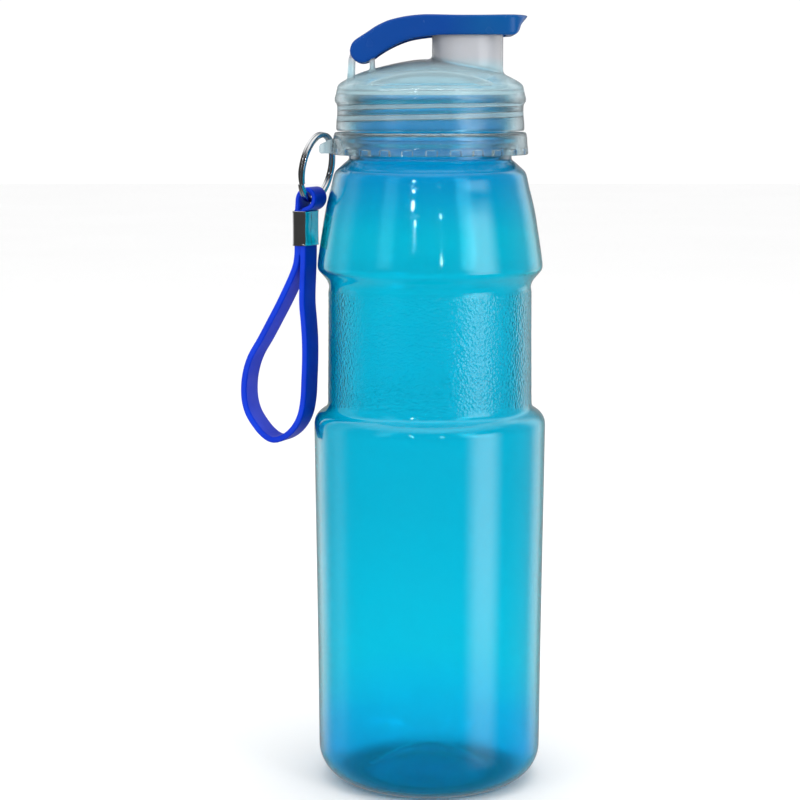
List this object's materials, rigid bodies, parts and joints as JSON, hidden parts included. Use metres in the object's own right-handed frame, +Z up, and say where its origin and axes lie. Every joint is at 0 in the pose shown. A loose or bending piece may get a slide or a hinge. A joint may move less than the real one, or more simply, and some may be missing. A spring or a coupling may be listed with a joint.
{
  "type": "sports squeeze bottle",
  "caption": "Squeeze drinking bottle with a pebbled grip waist, a screw cap with a flip lid over its spout, and a swivelling collar that carries a split ring and a wrist strap.",
  "frame": {"origin": "centre of the ring on which the base stands, on the standing plane", "axes": "+Z up along the bottle's axis, +X towards the thumb tab of the flip lid, the lid's hinge and the strap on -X"},
  "size_m": [0.0995, 0.075, 0.248],
  "materials": {
    "bottle_blue": "translucent cyan low-density polyethylene, glossy, with a pebbled waist",
    "cap_frosted": "natural frosted translucent polypropylene",
    "lid_blue": "opaque mid-blue moulded plastic, smooth with a soft gloss",
    "seal_white": "white silicone",
    "steel": "nickel-plated spring steel, bright",
    "strap_blue": "royal blue silicone, satin"
  },
  "bodies": {
    "bottle": {"bottle_shell": "bottle_blue"},
    "collar": {"carry_collar": "cap_frosted"},
    "ring": {"split_ring": "steel"},
    "strap": {"wrist_strap": "strap_blue", "strap_ferrule": "steel"},
    "seal": {"cap_gasket": "seal_white"},
    "cap": {"screw_cap": "cap_frosted"},
    "lid": {"flip_lid": "lid_blue", "spout_seal": "seal_white"}
  },
  "joints": [
    {"name": "collar_swivel", "type": "hinge", "parent": "bottle", "child": "collar", "pos_m": [0, 0, 0.208], "axis": [0, 0, 1], "continuous": true},
    {"name": "ring_swing", "type": "hinge", "parent": "collar", "child": "ring", "pos_m": [-0.0348, 0, 0.2075], "axis": [0, 1, 0], "range_deg": [0, 30]},
    {"name": "strap_swing", "type": "hinge", "parent": "ring", "child": "strap", "pos_m": [-0.03788, 0.00075, 0.18976], "axis": [0.4067, 0.9136, 0], "range_deg": [0, 45]},
    {"name": "cap_lift", "type": "slide", "parent": "bottle", "child": "seal", "axis": [0, 0, 1], "range_m": [0, 0.0151]},
    {"name": "cap_turn", "type": "hinge", "parent": "seal", "child": "cap", "pos_m": [0, 0, 0.224], "axis": [0, 0, 1], "range_deg": [0, 1500]},
    {"name": "lid_open", "type": "hinge", "parent": "cap", "child": "lid", "pos_m": [-0.0214, 0, 0.237], "axis": [0, -1, 0], "range_deg": [0, 125]}
  ],
  "couplings": [
    {"joint": "cap_lift", "follows": "cap_turn", "m_per_rad": 0.00057296}
  ]
}
